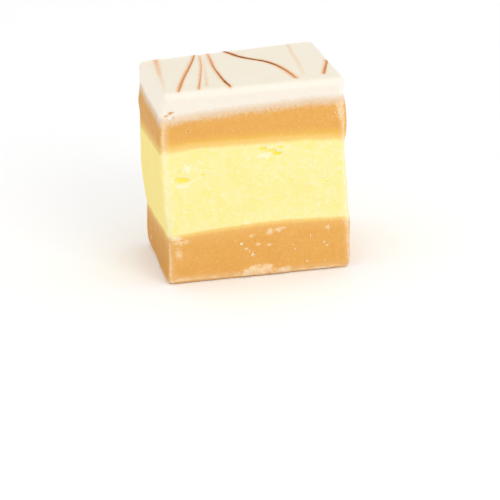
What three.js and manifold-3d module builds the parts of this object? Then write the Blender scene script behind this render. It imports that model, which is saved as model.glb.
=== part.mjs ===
// A square of layered fudge, cut with a knife from a slab that was poured in
// four layers: caramel, yellow, caramel again and a thin white top, which has
// fine chocolate lines drawn across it.
//
// Millimetres, +Z up. The front face looks along -Y, and the origin is in the
// middle of the flat base.

import * as THREE from "three";
import { mergeVertices } from "three/addons/utils/BufferGeometryUtils.js";
import Module from "manifold-3d";

const wasm = await Module();
wasm.setup();

// ---------------------------------------------------------------------------
// Driving dimensions

const WIDTH = 30; // across the front, along X
const DEPTH = 23; // front to back, along Y
const HEIGHT = 32.5;
const EDGE_RADIUS = 0.7; // how far the cut edges are worn round
const KNIFE_WAVE = 0.07; // height of the faint waves on the cut sides
const BACK_HOLLOW = 0.6; // how far the middle of the back is drawn in

// The poured surfaces, each with its height at the corners front left, front
// right, back left and back right. Its middle rises by `rise` above them, and a
// higher power keeps it level until closer to the sides.
const BASE = { corners: [0, 0, 0, 0], rise: 0, power: 2 };
const CARAMEL_BASE_TOP = { corners: [8.1, 8.55, 7.2, 8.2], rise: 0.75, power: 2 };
const YELLOW_TOP = { corners: [22.95, 22.3, 21.5, 22.1], rise: 0.6, power: 4 };
const CARAMEL_UPPER_TOP = { corners: [27.9, 29.0, 28.3, 28.8], rise: 0.5, power: 4 };
const WHITE_TOP = { corners: [HEIGHT, HEIGHT, 32.25, 32.7], rise: 0.05, power: 2 };

// Each upright edge as [height, how far it stands out of the straight block],
// sideways along X and lengthways along Y. The soft layers bulge and draw in by
// turns.
const UPRIGHTS = {
  frontLeft: {
    sideways: [[0, 0.7], [2.5, 0.55], [5, 0.1], [8.5, -0.05], [13.5, 0.52], [19.5, 0.76],
      [25, 0.76], [28, 0.34], [32.5, -0.2]],
    lengthways: [[0, -0.1], [8, 0.1], [16, 0], [25, 0.1], [32.5, -0.1]],
  },
  frontRight: {
    sideways: [[0, 0.02], [3, 0.2], [8.2, 0.38], [10, 0.15], [13, 0.2], [18.5, -0.14],
      [21.2, -0.2], [23.6, 0.36], [28, 0.33], [30.4, -0.2], [32.5, 0.2]],
    lengthways: [[0, 0.5], [8, 0.3], [12, 0], [32.5, -0.1]],
  },
  backLeft: {
    sideways: [[0, 0.08], [2, 0.34], [4.5, 0.33], [7.4, 0.16], [9, 0.42], [15.2, 0.78],
      [20, 0.54], [24, 0.46], [26.2, 0.6], [28.6, 0.15], [32.5, 0.15]],
    lengthways: [[0, -1], [10, -0.7], [22, -0.3], [26, -0.1], [32.5, -0.1]],
  },
  backRight: {
    sideways: [[0, 0.05], [4, 0.25], [8, 0.3], [10, 0.12], [20, -0.1], [24, 0.35], [28, 0.2],
      [30.4, 0], [32.5, 0.25]],
    lengthways: [[0, 1], [7, 1.2], [10, 0.95], [24, 1.4], [32.5, 1.5]],
  },
};

// Grid of every layer: cells across, cells front to back, and the short cells
// that carry the worn edges.
const CELLS_ACROSS = 20;
const CELLS_DEEP = 16;
const EDGE_CELLS = 2;
const EDGE_STEP = EDGE_RADIUS / EDGE_CELLS;

// The layers, bottom to top. `cells` is how many rows of cells are stacked in
// one, and `shortBelow` and `shortAbove` how many of them are short ones.
const LAYERS = [
  {
    name: "caramel_base",
    below: BASE,
    above: CARAMEL_BASE_TOP,
    cells: 7,
    shortBelow: EDGE_CELLS,
    shortAbove: 1,
    colour: 0xeab061,
    roughness: 0.55,
  },
  {
    name: "yellow_middle",
    below: CARAMEL_BASE_TOP,
    above: YELLOW_TOP,
    cells: 9,
    shortBelow: 1,
    shortAbove: 1,
    colour: 0xfdf3a6,
    roughness: 0.65,
  },
  {
    name: "caramel_upper",
    below: YELLOW_TOP,
    above: CARAMEL_UPPER_TOP,
    cells: 5,
    shortBelow: 1,
    shortAbove: 1,
    colour: 0xeeb265,
    roughness: 0.55,
  },
  {
    name: "white_top",
    below: CARAMEL_UPPER_TOP,
    above: WHITE_TOP,
    cells: 5,
    shortBelow: 1,
    shortAbove: EDGE_CELLS,
    colour: 0xf7efdd,
    roughness: 0.5,
  },
];

// Chocolate lines that stand proud of the top, each as points in the plan of
// the straight block, from its back end to its front end.
const LINE_RADIUS = 0.2;
const LINE_SUNK = 0.09; // how far the middle of a line lies under the surface
const LINE_SIDES = 6;
const LINE_STEP = 1.7;
const CHOCOLATE_LINES = [
  [[-5.6, 10.6], [-7.1, 5.5], [-9.1, -0.9], [-11, -7.2], [-11.8, -10.6]],
  [[-5, 8.8], [-6.1, 1.9], [-7.2, -4.1], [-8.3, -8.7], [-8.6, -10.6]],
  [[-3.5, 9.9], [-3.8, 5], [-4.05, -0.8], [-4, -5.9], [-3.8, -10.6]],
  [[-0.7, 10.6], [1.3, 5.9], [4.2, 1.8], [5.4, -0.6], [6.2, -3.1], [6.8, -6.6], [7.4, -10.2]],
  [[14.1, -0.9], [13.6, -3.9], [12.4, -8.3]],
];

// Pits torn in the cut sides of the layer `layer`: the side, the place along it
// and above the base, and how wide, tall and deep each pit is.
const FRONT_PITS = [
  { layer: "yellow_middle", along: -12.1, up: 17.8, wide: 2.8, tall: 0.8, deep: 0.35 },
  { layer: "yellow_middle", along: 1.4, up: 21.5, wide: 1.8, tall: 1, deep: 0.3 },
  { layer: "yellow_middle", along: 3.6, up: 20.6, wide: 1.4, tall: 0.9, deep: 0.3 },
  { layer: "yellow_middle", along: 10.9, up: 15.6, wide: 1.8, tall: 0.9, deep: 0.16 },
  { layer: "white_top", along: -13.8, up: 29.1, wide: 1.3, tall: 0.7, deep: 0.25 },
];
const HIDDEN_SIDES = ["right", "back"];
const PITS_PER_HIDDEN_SIDE = 3;

// Lumps of the torn lip along the foot of the front face.
const LIP_LUMPS = [
  { along: -0.7, up: 1.35, wide: 3.4, tall: 1.1, proud: 0.3 },
  { along: -2.4, up: 0.6, wide: 1.7, tall: 0.8, proud: 0.4 },
  { along: 0.3, up: 0.55, wide: 2, tall: 0.8, proud: 0.45 },
  { along: 2.3, up: 0.7, wide: 1.9, tall: 1, proud: 0.45 },
  { along: 4, up: 0.55, wide: 1.4, tall: 0.7, proud: 0.3 },
];

const LUMP_DETAIL = 1; // how finely the pits and lumps are divided
const SEED = 7;

// ---------------------------------------------------------------------------
// The form of the whole block

// A repeatable random number from 0 to 1.
function randomFrom(seed) {
  let state = seed;
  return () => {
    state = (state * 48271) % 2147483647;
    return state / 2147483647;
  };
}

// The value at z of a smooth curve through [z, value] points.
function curveAt(points, z) {
  const next = points.findIndex((point) => point[0] > z);
  if (next === 0) return points[0][1];
  if (next < 0) return points[points.length - 1][1];
  const [lowZ, low] = points[next - 1];
  const [highZ, high] = points[next];
  return THREE.MathUtils.lerp(low, high, THREE.MathUtils.smoothstep(z, lowZ, highZ));
}

// The value at (u, v) between four corner values. u runs from left to right and
// v from front to back, both from 0 to 1.
function betweenCorners([frontLeft, frontRight, backLeft, backRight], u, v) {
  const front = THREE.MathUtils.lerp(frontLeft, frontRight, u);
  const back = THREE.MathUtils.lerp(backLeft, backRight, u);
  return THREE.MathUtils.lerp(front, back, v);
}

function surfaceHeight(surface, u, v) {
  const plateau = 1 - Math.abs(2 * u - 1) ** surface.power;
  return betweenCorners(surface.corners, u, v) + surface.rise * plateau;
}

// Faint waves of a cut side, as a distance along its outward direction.
function knifeWave(along, z, side) {
  const long = Math.sin(0.5 * along + 1.9 * side) * Math.sin(0.33 * z + 0.8 * side);
  const short = Math.sin(1.15 * along - 0.8 * z + 2.6 * side);
  return KNIFE_WAVE * (long + 0.5 * short);
}

// How far into the worn zone at one end a place is, from 0 inside to 1 at the
// end, on a side that is `reach` away from the middle.
function intoEdge(place, reach) {
  return Math.max(0, (Math.abs(place) - (reach - EDGE_RADIUS)) / EDGE_RADIUS);
}

// A place in a worn zone, moved from the cube corner's square form onto a ball.
function worn(place, reach, own, other, third) {
  const a = other * other;
  const b = third * third;
  const round = Math.sqrt(1 - a / 2 - b / 2 + (a * b) / 3);
  return Math.sign(place) * (reach - EDGE_RADIUS + EDGE_RADIUS * own * round);
}

// The real place of the point (x, y, z) of a straight block of WIDTH by DEPTH,
// whose z is already a real height.
function placeInBlock(x, y, z) {
  const u = x / WIDTH + 0.5;
  const v = y / DEPTH + 0.5;
  const middle = surfaceHeight(WHITE_TOP, u, v) / 2;
  const edgeX = intoEdge(x, WIDTH / 2);
  const edgeY = intoEdge(y, DEPTH / 2);
  const edgeZ = intoEdge(z - middle, middle);
  const point = new THREE.Vector3(x, y, z);
  if (edgeX > 0) point.x = worn(x, WIDTH / 2, edgeX, edgeY, edgeZ);
  if (edgeY > 0) point.y = worn(y, DEPTH / 2, edgeY, edgeX, edgeZ);
  if (edgeZ > 0) point.z = middle + worn(z - middle, middle, edgeZ, edgeX, edgeY);
  point.x += sidewaysShift(u, v, z);
  point.y += lengthwaysShift(u, v, z);
  return point;
}

function sidewaysShift(u, v, z) {
  const { frontLeft, frontRight, backLeft, backRight } = UPRIGHTS;
  const along = (v - 0.5) * DEPTH;
  const left = THREE.MathUtils.lerp(
    curveAt(frontLeft.sideways, z), curveAt(backLeft.sideways, z), v);
  const right = THREE.MathUtils.lerp(
    curveAt(frontRight.sideways, z), curveAt(backRight.sideways, z), v);
  return u * (right + knifeWave(along, z, 1)) - (1 - u) * (left + knifeWave(along, z, 2));
}

function lengthwaysShift(u, v, z) {
  const { frontLeft, frontRight, backLeft, backRight } = UPRIGHTS;
  const along = (u - 0.5) * WIDTH;
  const front = THREE.MathUtils.lerp(
    curveAt(frontLeft.lengthways, z), curveAt(frontRight.lengthways, z), u);
  const back = THREE.MathUtils.lerp(
    curveAt(backLeft.lengthways, z), curveAt(backRight.lengthways, z), u);
  const hollow = BACK_HOLLOW * (1 - (2 * u - 1) ** 2);
  const backward = back - hollow + knifeWave(along, z, 3);
  return v * backward - (1 - v) * (front + knifeWave(along, z, 4));
}

// ---------------------------------------------------------------------------
// Layers

// Grid line number i of `count` cells over a length, with short cells at its ends.
function gridLine(i, count, length, shortBelow, shortAbove) {
  const long = (length - (shortBelow + shortAbove) * EDGE_STEP) / (count - shortBelow - shortAbove);
  const shortPassed = Math.min(i, shortBelow) + Math.max(0, i - (count - shortAbove));
  return shortPassed * EDGE_STEP + (i - shortPassed) * long;
}

// A box of cells that is one unit each way. A turned box has the diagonals of
// its end faces the other way, so that stacked boxes meet triangle for triangle.
function cellBox(layer, turned) {
  if (!turned) return new THREE.BoxGeometry(1, 1, 1, CELLS_ACROSS, CELLS_DEEP, layer.cells);
  const box = new THREE.BoxGeometry(1, 1, 1, CELLS_DEEP, CELLS_ACROSS, layer.cells);
  return box.rotateZ(Math.PI / 2);
}

function layerGeometry(layer, turned) {
  const geometry = cellBox(layer, turned);
  const position = geometry.attributes.position;
  for (let n = 0; n < position.count; n++) {
    const column = Math.round((position.getX(n) + 0.5) * CELLS_ACROSS);
    const row = Math.round((position.getY(n) + 0.5) * CELLS_DEEP);
    const level = Math.round((position.getZ(n) + 0.5) * layer.cells);
    const x = gridLine(column, CELLS_ACROSS, WIDTH, EDGE_CELLS, EDGE_CELLS) - WIDTH / 2;
    const y = gridLine(row, CELLS_DEEP, DEPTH, EDGE_CELLS, EDGE_CELLS) - DEPTH / 2;
    const low = surfaceHeight(layer.below, x / WIDTH + 0.5, y / DEPTH + 0.5);
    const high = surfaceHeight(layer.above, x / WIDTH + 0.5, y / DEPTH + 0.5);
    const z = low + gridLine(level, layer.cells, high - low, layer.shortBelow, layer.shortAbove);
    position.setXYZ(n, ...placeInBlock(x, y, z).toArray());
  }
  return geometry;
}

// ---------------------------------------------------------------------------
// Joining and cutting

function solidOf(geometry) {
  const bare = geometry.clone();
  bare.deleteAttribute("normal");
  bare.deleteAttribute("uv");
  const merged = mergeVertices(bare);
  const mesh = new wasm.Mesh({
    numProp: 3,
    vertProperties: new Float32Array(merged.attributes.position.array),
    triVerts: new Uint32Array(merged.index.array),
  });
  return new wasm.Manifold(mesh);
}

function geometryOf(solid) {
  const mesh = solid.getMesh();
  const geometry = new THREE.BufferGeometry();
  geometry.setAttribute("position", new THREE.BufferAttribute(mesh.vertProperties, 3));
  geometry.setIndex(new THREE.BufferAttribute(mesh.triVerts, 1));
  geometry.computeVertexNormals();
  return geometry;
}

// A rough lump: a ball whose faces are pushed in and out, with its three half sizes.
function lump(halfX, halfY, halfZ, phase) {
  const ball = new THREE.IcosahedronGeometry(1, LUMP_DETAIL);
  const position = ball.attributes.position;
  for (let n = 0; n < position.count; n++) {
    const point = new THREE.Vector3().fromBufferAttribute(position, n);
    const rough = 1 + 0.16 * Math.sin(3.1 * point.x + 2.3 * point.z + phase);
    position.setXYZ(n, point.x * halfX * rough, point.y * halfY * rough, point.z * halfZ * rough);
  }
  return ball;
}

// ---------------------------------------------------------------------------
// Relief

// A point on the cut side, at a place along it from its middle.
function onSide(side, along, up) {
  if (side === "front") return placeInBlock(along, -DEPTH / 2, up);
  if (side === "back") return placeInBlock(along, DEPTH / 2, up);
  if (side === "left") return placeInBlock(-WIDTH / 2, along, up);
  return placeInBlock(WIDTH / 2, along, up);
}

function pitSolid(pit, phase) {
  const facesY = pit.side === "front" || pit.side === "back";
  const halfX = facesY ? pit.wide / 2 : pit.deep;
  const halfY = facesY ? pit.deep : pit.wide / 2;
  const place = onSide(pit.side, pit.along, pit.up);
  return solidOf(lump(halfX, halfY, pit.tall / 2, phase).translate(...place.toArray()));
}

// The pits of the front, and a few like them on each hidden side.
function allPits() {
  const random = randomFrom(SEED);
  const pits = FRONT_PITS.map((pit) => ({ side: "front", ...pit }));
  for (const side of HIDDEN_SIDES) {
    for (let n = 0; n < PITS_PER_HIDDEN_SIDE; n++) {
      pits.push({
        layer: "yellow_middle",
        side,
        along: (random() - 0.5) * 0.7 * DEPTH,
        up: 12 + 7 * random(),
        wide: 1.4 + 1.3 * random(),
        tall: 0.7 + 0.4 * random(),
        deep: 0.25 + 0.15 * random(),
      });
    }
  }
  return pits;
}

function cutPits(solid, layerName) {
  const pits = allPits().filter((pit) => pit.layer === layerName);
  return pits.reduce((left, pit, n) => left.subtract(pitSolid(pit, n)), solid);
}

function lumpSolid(crumb, phase) {
  const place = onSide("front", crumb.along, crumb.up);
  const ball = lump(crumb.wide / 2, crumb.proud, crumb.tall / 2, phase);
  return solidOf(ball.translate(...place.toArray()));
}

function addLip(solid) {
  return LIP_LUMPS.reduce((fused, crumb, n) => fused.add(lumpSolid(crumb, n)), solid);
}

// A chocolate line: a thin rod laid along the top and sunk to below its middle.
function chocolateLine(planPoints) {
  const points = planPoints.map(([x, y]) => {
    const top = surfaceHeight(WHITE_TOP, x / WIDTH + 0.5, y / DEPTH + 0.5);
    return placeInBlock(x, y, top).add(new THREE.Vector3(0, 0, -LINE_SUNK));
  });
  const path = new THREE.CatmullRomCurve3(points);
  const section = new THREE.Shape();
  for (let corner = 0; corner < LINE_SIDES; corner++) {
    const angle = (2 * Math.PI * corner) / LINE_SIDES;
    const x = LINE_RADIUS * Math.cos(angle);
    const y = LINE_RADIUS * Math.sin(angle);
    if (corner === 0) section.moveTo(x, y);
    else section.lineTo(x, y);
  }
  section.closePath();
  const steps = Math.round(path.getLength() / LINE_STEP);
  return new THREE.ExtrudeGeometry(section, { steps, bevelEnabled: false, extrudePath: path });
}

function addChocolateLines(solid) {
  return CHOCOLATE_LINES.reduce((top, line) => top.add(solidOf(chocolateLine(line))), solid);
}

// ---------------------------------------------------------------------------
// The block

function buildLayer(layer, number) {
  let solid = solidOf(layerGeometry(layer, number % 2 === 1));
  solid = cutPits(solid, layer.name);
  if (layer.name === "caramel_base") solid = addLip(solid);
  if (layer.name === "white_top") solid = addChocolateLines(solid);
  const material = new THREE.MeshStandardMaterial({
    color: layer.colour,
    roughness: layer.roughness,
    metalness: 0,
  });
  const mesh = new THREE.Mesh(geometryOf(solid), material);
  mesh.name = layer.name;
  return mesh;
}

// Moves the group so that the middle of its box is over the origin.
function centreOverOrigin(block) {
  const middle = new THREE.Box3().setFromObject(block).getCenter(new THREE.Vector3());
  block.position.set(-middle.x, -middle.y, 0);
}

const fudge = new THREE.Group();
LAYERS.forEach((layer, number) => fudge.add(buildLayer(layer, number)));
centreOverOrigin(fudge);

export default fudge;
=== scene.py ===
"""The looks of a square of layered fudge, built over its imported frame.

Each layer gets a fine skin. It is cast from the CAD solids, so it has their form, and then
carries the grain, pits and drags of cut fudge. The chocolate lines and the crumbs are pieces of
their own. Sizes are in millimetres, and MM turns them into Blender's metres.
"""

import math
from collections import namedtuple

import bmesh
import bpy
import numpy as np
from numpy.lib.stride_tricks import sliding_window_view
from mathutils import Matrix, Vector, noise
from mathutils.bvhtree import BVHTree


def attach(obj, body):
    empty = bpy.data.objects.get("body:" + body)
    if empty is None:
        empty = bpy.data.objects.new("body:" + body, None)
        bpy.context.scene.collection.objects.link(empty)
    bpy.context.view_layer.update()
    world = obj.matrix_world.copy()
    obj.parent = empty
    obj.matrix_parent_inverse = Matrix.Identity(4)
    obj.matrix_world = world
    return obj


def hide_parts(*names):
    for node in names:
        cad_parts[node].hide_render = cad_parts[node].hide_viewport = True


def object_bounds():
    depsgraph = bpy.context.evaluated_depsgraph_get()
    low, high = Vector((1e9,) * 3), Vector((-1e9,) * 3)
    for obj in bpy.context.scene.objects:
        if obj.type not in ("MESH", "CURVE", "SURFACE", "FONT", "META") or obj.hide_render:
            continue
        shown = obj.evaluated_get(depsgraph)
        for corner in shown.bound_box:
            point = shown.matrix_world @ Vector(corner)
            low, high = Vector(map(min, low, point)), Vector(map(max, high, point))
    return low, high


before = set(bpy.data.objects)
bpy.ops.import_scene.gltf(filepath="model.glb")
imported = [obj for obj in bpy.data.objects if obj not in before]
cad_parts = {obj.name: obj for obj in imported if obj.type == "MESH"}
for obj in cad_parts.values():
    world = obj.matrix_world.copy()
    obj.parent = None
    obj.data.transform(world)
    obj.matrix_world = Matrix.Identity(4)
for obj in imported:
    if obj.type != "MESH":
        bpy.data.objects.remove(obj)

CAD_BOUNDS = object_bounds()

# ---- Sizes, in mm

MM = 0.001
STEP = 0.16  # cell of the fine skins
CORE_DEPTH = 2.0  # the skins are cast from a core that lies this far inside the block
RAY_START = 8.0  # the rays start this far outside the core
FACET_BLUR = 2.2  # cells over which the CAD's facets are smoothed away
SEAM_BLUR = 5.0  # columns over which a seam's steps are smoothed away
SEAM_WOBBLE = (0.11, 0.04, 0.06)  # how far each seam wanders up and down, from the lowest up
CAP_RINGS = 8  # rings of the hidden faces where two layers meet
CAP_BLEND = 3.0  # how far inward the top is fitted to the rim that it shares with the sides
RIDGE_CELLS = 4  # cells to each side in which a CAD chocolate line ends
BACK_PROBES = 24  # heights at which the slanting back is measured
RAY_BEHIND = 1.0  # rays that measure the back start this far behind the block,
RAY_ABOVE = 5.0  # rays that lay the lines on the top this far above it,
RAY_BESIDE = 30.0  # and rays that lay a crumb on a side this far from the block's middle
SHARP_ANGLE = math.radians(60)  # edges between a layer's side and its hidden faces stay sharp
JOIN_WITHIN = 0.0001  # points closer than this are one
SEAM_SOFTNESS = 0.25  # half the height over which one layer's grain turns into the next's

LAYERS = ("caramel_base", "yellow_middle", "caramel_upper", "white_top")
BASE, WHITE = 0, 3  # the lowest layer and the highest

# Marks, lines and camera are placed from the middle of the straight block. The origin is under
# the middle of the whole box, with its bulges.
BLOCK_MIDDLE = np.array((0.191, -0.355))

LOW = np.array(CAD_BOUNDS[0]) / MM
HIGH = np.array(CAD_BOUNDS[1]) / MM
CORE_LOW = LOW + CORE_DEPTH
CORE_HIGH = HIGH - CORE_DEPTH

# ---- Marks of cutting and handling

# A mark lies on a side, at a place along it (X on the front and back, Y on the right and left)
# and above the floor. `amount` is a pit's depth or a crumb's thickness in mm, a pale patch's
# strength from 0 to 1, or the number of crumbs in a cluster.
Mark = namedtuple("Mark", "side along up wide tall amount")

SIDES = {"front": (0, -1), "right": (1, 0), "back": (0, 1), "left": (-1, 0)}


def marks_on(side, *rows):
    return tuple(Mark(side, *row) for row in rows)


# Torn pits. The first nine are in the yellow layer. The next three make a notch in the left end
# of the white layer, and the last two are pinholes in the caramel.
FRONT_PITS = marks_on(
    "front",
    (-12.0, 17.8, 2.8, 0.95, 0.15), (1.3, 21.8, 1.2, 0.6, 0.12), (2.3, 21.35, 1.6, 0.45, 0.12),
    (4.1, 21.8, 1.9, 0.4, 0.1), (3.5, 20.75, 1.2, 0.75, 0.18), (-9.0, 18.4, 0.8, 0.5, 0.1),
    (-13.0, 19.2, 1.1, 0.35, 0.07), (-13.8, 22.1, 1.3, 0.35, 0.05), (-14.0, 20.0, 0.8, 0.35, 0.05),
    (-13.6, 29.2, 1.1, 0.4, 0.12), (-14.4, 28.8, 0.9, 0.4, 0.12), (-13.3, 28.4, 0.8, 0.25, 0.12),
    (5.3, 6.8, 0.3, 0.3, 0.12), (-10.9, 26.0, 0.5, 0.5, 0.1),
)
SMALL_PITS = 60  # more, smaller ones all round the yellow layer
SMALL_PIT_SHARE = (0.06, 0.94)  # where they are, from the layer's lower seam to its upper one
SMALL_PIT_RADIUS = (0.18, 0.5)
SMALL_PIT_DEPTH = (0.03, 0.07)
CHIP_DEPTH = 0.16  # how deep the edges are chipped

# Pale places: fudge smeared up or down over a seam, dust of the cutting, and the torn lip.
FRONT_PATCHES = marks_on(
    "front",
    (-13.8, 8.0, 2.4, 0.9, 1.0), (-13.0, 7.2, 3.0, 1.1, 0.55), (-13.4, 5.3, 1.5, 2.6, 0.5),
    (-11.6, 28.2, 6.0, 0.9, 0.4), (-11.5, 19.6, 1.3, 1.7, 0.8), (-12.3, 16.75, 2.6, 0.7, 0.7),
    (-9.6, 19.3, 1.2, 0.4, 0.4), (1.2, 20.6, 2.7, 1.3, 0.7), (2.7, 22.2, 0.5, 0.5, 0.5),
    (-1.3, 7.3, 1.1, 0.9, 0.4), (1.6, 7.6, 1.7, 1.3, 0.6), (3.4, 7.9, 2.2, 1.0, 0.6),
    (-0.3, 5.6, 1.2, 0.9, 0.55), (1.7, 5.3, 1.2, 0.9, 0.5), (11.3, 7.3, 1.1, 1.0, 0.55),
    (14.8, 8.2, 1.6, 1.3, 0.8), (14.2, 27.1, 1.8, 3.4, 0.6), (-0.5, 1.15, 5.2, 2.0, 0.85),
    (-2.6, 0.8, 1.3, 0.9, 1.0), (1.4, 1.7, 1.6, 0.7, 1.0), (3.9, 0.8, 2.9, 1.1, 0.75),
    (10.1, 0.3, 3.2, 0.7, 1.0),
)

# Single crumbs: the front's are on the lower caramel, and some of them are long and thin.
FRONT_CRUMBS = marks_on(
    "front",
    (-3.1, 6.0, 0.5, 0.55, 0.2), (-2.4, 5.1, 0.7, 0.16, 0.08), (-1.8, 4.6, 0.16, 0.6, 0.08),
    (-1.1, 3.9, 0.55, 0.16, 0.08), (8.5, 6.3, 0.17, 0.65, 0.1), (10.7, 4.9, 0.42, 0.42, 0.2),
    (11.2, 4.3, 0.34, 0.3, 0.15), (11.6, 4.6, 0.2, 0.2, 0.1), (7.7, 1.9, 0.38, 0.32, 0.16),
    (10.8, 1.7, 0.25, 0.25, 0.08), (5.8, 4.2, 0.25, 0.2, 0.1), (5.5, 5.0, 0.22, 0.22, 0.08),
)
LEFT_CRUMBS = marks_on("left", (0.8, 5.9, 0.35, 0.5, 0.15), (9.0, 26.8, 0.4, 0.5, 0.2))

# Clusters of fine crumbs: round the pits, on the torn lip, and along the right edge.
FRONT_CLUSTERS = marks_on(
    "front",
    (-11.5, 19.4, 1.0, 1.3, 14), (-10.9, 20.6, 0.5, 0.7, 5), (-12.2, 16.8, 1.2, 0.4, 6),
    (1.8, 22.2, 1.4, 0.5, 10), (1.6, 20.6, 1.8, 0.7, 13), (3.7, 21.3, 1.0, 0.4, 6),
    (9.7, 18.8, 0.6, 0.7, 5), (11.1, 16.2, 0.6, 0.6, 5), (10.1, 15.0, 1.6, 0.5, 9),
    (5.5, 13.8, 1.4, 1.3, 9), (-2.6, 0.9, 1.2, 1.0, 16), (3.7, 0.9, 2.6, 1.0, 24),
    (10.1, 0.4, 2.8, 0.4, 14), (-1.7, 4.5, 1.6, 1.6, 7), (14.2, 27.1, 1.5, 3.0, 26),
    (14.9, 3.3, 0.6, 4.8, 26), (14.8, 8.2, 1.2, 1.1, 12),
)

# How many pits, patches, crumbs and clusters are scattered over each other side, and the ranges
# of their heights and sizes. Patches and crumbs lie on the lower or on the upper caramel.
SCATTERED = {"right": (5, 6, 9, 7), "back": (6, 7, 12, 8), "left": (0, 3, 3, 0)}
FROM_CORNER = 2.2  # how far their middles keep from the upright edges, at the least
PIT_RANGES = {"up": (11, 20), "wide": (0.8, 2.4), "tall": (0.4, 0.8), "amount": (0.15, 0.35)}
PATCH_HEIGHTS = ((0.2, 8.5), (25, 28))
PATCH_RANGES = {"wide": (0.6, 2.0), "tall": (0.5, 1.2), "amount": (0.3, 0.8)}
CRUMB_HEIGHTS = ((0.8, 7.5), (23, 28))
CRUMB_RANGE = (0.2, 0.5)  # both its width and its height
CRUMB_THICK = 0.15
CLUSTER_RANGES = {"up": (0.5, 27), "wide": (0.6, 1.8), "tall": (0.4, 1.2), "amount": (5, 14)}
CRUMB_SIZE = (0.11, 0.3)  # width of the crumbs in any cluster
MARK_SEED, PIT_SEED, CRUMB_SEED = 5, 11, 3

# The chocolate lines on the top, with their plan points from the back edge to the front one.
# Width, and the strength (`stain`) and half width (`halo`) of the stain beside a line, are given
# at both ends, and darkness also in the middle. A line with no width is only a stain.
Line = namedtuple("Line", "width dark stain halo points")
LINES = (
    Line((0, 0), (0, 0, 0), (0.85, 0.12), (0.5, 0.2),
         ((-12.3, 10.3), (-12.6, 6.0), (-13.1, 1.0), (-13.5, -4.5), (-14.0, -9.5))),
    Line((0.24, 0.38), (0.4, 0.3, 0.1), (0.7, 0.9), (0.36, 0.36),
         ((-5.5, 10.8), (-6.8, 6.3), (-8.3, 1.6), (-9.8, -3.0), (-11.1, -7.5), (-12.0, -10.9))),
    Line((0.04, 0.18), (0, 0, 0.2), (0.6, 0.8), (0.28, 0.28),
         ((-4.9, 9.4), (-5.7, 3.6), (-6.7, -1.5), (-7.7, -6.2), (-8.7, -10.8))),
    Line((0, 0), (0, 0, 0), (0.1, 0.45), (0.3, 0.3),
         ((-4.5, 7.0), (-5.6, 0.5), (-6.3, -4.2), (-7.1, -9.4))),
    Line((0.12, 0.42), (0, 0.4, 0.8), (0.7, 0.9), (0.36, 0.4),
         ((-3.4, 10.4), (-3.7, 5.3), (-3.95, 2.0), (-4.0, -2.5), (-3.9, -7.5), (-3.6, -10.9))),
    Line((0.52, 0.3), (0.8, 0.9, 0), (0.9, 0.95), (0.56, 0.5),
         ((-0.6, 10.8), (0.5, 8.3), (1.6, 6.0), (3.3, 3.8), (4.8, 2.0), (6.1, -1.1), (6.8, -4.1),
          (7.2, -6.6), (7.5, -9.6))),
    Line((0, 0), (0, 0, 0), (0.42, 0.2), (0.3, 0.4),
         ((10.7, 11.8), (10.2, 5.6), (10.0, 1.6), (9.7, -2.2), (9.2, -8.0))),
    Line((0.36, 0.36), (0.2, 0.3, 0.2), (0.8, 0.9), (0.36, 0.36),
         ((14.6, -0.6), (14.2, -2.4), (13.7, -4.0), (12.9, -6.6), (12.3, -8.6))),
)
LINE_STEP = 0.12  # distance between the points of a line
STAIN_OFFSET = np.array((-0.06, 0.25))  # how far a stain lies beside the middle of its line

# ---- Reading the CAD skin


def smoothstep(value, low, high):
    t = np.clip((value - low) / (high - low), 0, 1)
    return t * t * (3 - 2 * t)


def grain(points, size, seed, stretch=(1, 1, 1)):
    """Smooth noise from -1 to 1 whose lumps are about `size` mm across."""
    scaled = points / (size * np.array(stretch)) + 37.0 * seed
    return np.array([noise.noise(Vector(place)) for place in scaled.tolist()])


def tree_of(labelled):
    """A search tree over the faces of objects, in mm, and the label of each face."""
    points, faces, labels = [], [], []
    for thing, label in labelled:
        start = len(points)
        points.extend(vertex.co / MM for vertex in thing.data.vertices)
        for polygon in thing.data.polygons:
            faces.append([start + corner for corner in polygon.vertices])
            labels.append(label)
    return BVHTree.FromPolygons(points, faces), labels


def cast(cores, outward):
    """How far the CAD skin lies from each core point of a grid, and its layer there."""
    distance = np.empty(cores.shape[:2])
    layer = np.empty(cores.shape[:2], dtype=int)
    for place in np.ndindex(layer.shape):
        way = Vector(outward[place])
        _, _, face, travelled = TREE.ray_cast(Vector(cores[place]) + way * RAY_START, -way)
        distance[place] = RAY_START - travelled
        layer[place] = LAYER_OF[face]
    return distance, layer


def blur(field, cells, axis, periodic):
    """A Gaussian blur of an array along one axis."""
    reach = int(3 * cells) + 1
    weights = np.exp(-0.5 * (np.arange(-reach, reach + 1) / cells) ** 2)
    weights /= weights.sum()
    pad = [(0, 0)] * field.ndim
    pad[axis] = (reach, reach)
    padded = np.pad(field, pad, mode="wrap" if periodic else "edge")
    return np.apply_along_axis(np.convolve, axis, padded, weights, mode="valid")


# ---- The grid round the block: upright columns, and rows from its foot to its top


def back_of_core(x):
    """How far back the core reaches at x, as the back slants."""
    surface = []
    for z in np.linspace(1, HIGH[2] - 1, BACK_PROBES):
        hit, _, _, _ = TREE.ray_cast(Vector((x, HIGH[1] + RAY_BEHIND, z)), Vector((0, -1, 0)))
        surface.append(hit[1])
    return min(surface) - CORE_DEPTH


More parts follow.
